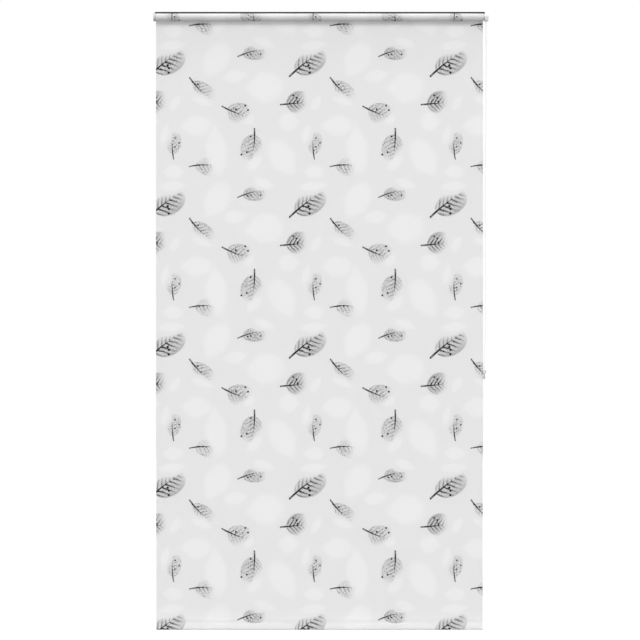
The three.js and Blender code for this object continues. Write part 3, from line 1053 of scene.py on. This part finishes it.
class BLIND_OT_idle_plug(bpy.types.Operator):
    """Left plug: a pin, a flange and a hub that fills the tube's end"""

    bl_idname = "blind.idle_plug"
    bl_label = "Idle plug"

    def execute(self, context):
        settings = context.scene.blind_fittings
        low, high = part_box("idle_plug")
        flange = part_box("roller_tube")[0].x - PLUG.gap - PLUG.flange
        sections = (
            (low.x, PLUG.pin), (flange, PLUG.pin), (flange, TUBE_RADIUS),
            (flange + PLUG.flange, TUBE_RADIUS), (flange + PLUG.flange, PLUG.hub),
            (high.x, PLUG.hub),
        )
        made = lofted("idle_plug_moulding", *[(x, circle(radius)) for x, radius in sections])
        piece = placed(made, moulded("plug_plastic", settings.grey), settings.rounding)
        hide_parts("idle_plug")
        return {"FINISHED"}


class BLIND_OT_chain_wheel(bpy.types.Operator):
    """Chain wheel: a hub that fills the tube's end, a collar, and a groove with a pocket for each bead"""

    bl_idname = "blind.chain_wheel"
    bl_label = "Chain wheel"

    def execute(self, context):
        settings = context.scene.blind_fittings
        w = WHEEL
        offsets = [w.groove * (i / 7 - 1) for i in range(15)]
        groove = [(self.pocketed(x), CHAIN_X + x) for x in offsets]
        low, high = CHAIN_X - w.groove, CHAIN_X + w.groove
        profile = [
            (w.bore, w.hub_end), (w.hub, w.hub_end), (w.hub, w.tube_end), (w.collar, w.tube_end),
            (w.collar, w.collar_end), (w.rim, w.collar_end), (w.rim, low), *groove, (w.rim, high),
            (w.rim, w.end), (w.bore, w.end),
        ]
        made = turned("chain_wheel_moulding", profile, 160, lambda y, z, x: (x, AXIS.y + y, AXIS.z + z))
        piece = placed(made, moulded("wheel_plastic", settings.wheel))
        made.set_sharp_from_angle(angle=math.radians(35))
        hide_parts("chain_wheel")
        return {"FINISHED"}

    def pocketed(self, x):
        """The groove's radius at one X, as a function of the angle."""
        step = 2 * math.pi / POCKETS

        def radius(angle):
            off = (angle - math.pi / 2 + step / 2) % step - step / 2
            room = WHEEL.pocket ** 2 - x * x - (WHEEL_PITCH_RADIUS * math.sin(off)) ** 2
            if room <= 0:
                return WHEEL.ridge
            return min(WHEEL.ridge, WHEEL_PITCH_RADIUS * math.cos(off) - math.sqrt(room))

        return radius


# Head rail, tube and rod

RAIL = sizes(half=9, height=5, wall=1.5, lip=1.4, slot=4.8, skirt=1.2, skirt_wall=1)


class BLIND_OT_head_rail(bpy.types.Operator):
    """Head rail: a painted channel, open below, with a shallow skirt in front. Its near-black paint is
    partly painted shade.
    """

    bl_idname = "blind.head_rail"
    bl_label = "Head rail"

    def execute(self, context):
        settings = context.scene.blind_fittings
        r = RAIL
        half, slot, inside = r.half, r.slot, r.half - r.wall
        low, lip, skirt = -r.height, r.lip - r.height, -r.height - r.skirt
        section = [
            (-half, skirt), (r.skirt_wall - half, skirt), (r.skirt_wall - half, low), (-slot, low),
            (-slot, lip), (-inside, lip), (-inside, -r.wall), (inside, -r.wall), (inside, lip),
            (slot, lip), (slot, low), (half, low), (half, 0.0), (-half, 0.0),
        ]
        made = lofted("head_rail_profile", (RAIL_START, section), (RAIL_END, section))
        # Painted shade: the near-black paint of the rail and its skirt also stands in for the shade line
        # over the roll's top.
        piece = placed(made, painted("rail_paint", settings.rail), settings.rounding, 2)
        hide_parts("head_rail")
        return {"FINISHED"}


class BLIND_OT_metalwork(bpy.types.Operator):
    """Finish of the tube and the hem rod, which keep the frame's shapes"""

    bl_idname = "blind.metalwork"
    bl_label = "Tube and hem rod"

    def execute(self, context):
        settings = context.scene.blind_fittings
        metal = drawn_metal("mill_aluminium", settings.aluminium)
        for name in ("roller_tube", "hem_rod"):
            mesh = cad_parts[name].data
            mesh.materials.clear()
            mesh.materials.append(metal)
        return {"FINISHED"}


# Add-on

STEPS = (
    BLIND_OT_stage, BLIND_OT_pull_weight, BLIND_OT_bead_chain, BLIND_OT_printed_cloth, BLIND_OT_head_rail,
    BLIND_OT_drive_bracket, BLIND_OT_idle_bracket, BLIND_OT_idle_plug, BLIND_OT_chain_wheel,
    BLIND_OT_metalwork,
)
SETTINGS = {
    "blind_cloth": BlindClothSettings,
    "blind_chain": BlindChainSettings,
    "blind_fittings": BlindFittingSettings,
    "blind_stage": BlindStageSettings,
}


class BLIND_PT_panel(bpy.types.Panel):
    """Sizes, colours and steps of the blind"""

    bl_label = "Shower Roller Blind"
    bl_idname = "BLIND_PT_panel"
    bl_space_type = "VIEW_3D"
    bl_region_type = "UI"
    bl_category = "Blind"

    def draw(self, context):
        for step in STEPS:
            self.layout.operator(step.bl_idname)
        for name, group in SETTINGS.items():
            box = self.layout.box()
            for field in group.__annotations__:
                box.prop(getattr(context.scene, name), field)


CLASSES = (*SETTINGS.values(), *STEPS, BLIND_PT_panel)


def register():
    for item in CLASSES:
        bpy.utils.register_class(item)
    for name, group in SETTINGS.items():
        setattr(bpy.types.Scene, name, bpy.props.PointerProperty(type=group))


def unregister():
    for name in SETTINGS:
        delattr(bpy.types.Scene, name)
    for item in reversed(CLASSES):
        bpy.utils.unregister_class(item)


def main():
    register()
    for step in STEPS:
        getattr(bpy.ops.blind, step.bl_idname.split(".")[1])()


if __name__ == "__main__":
    main()
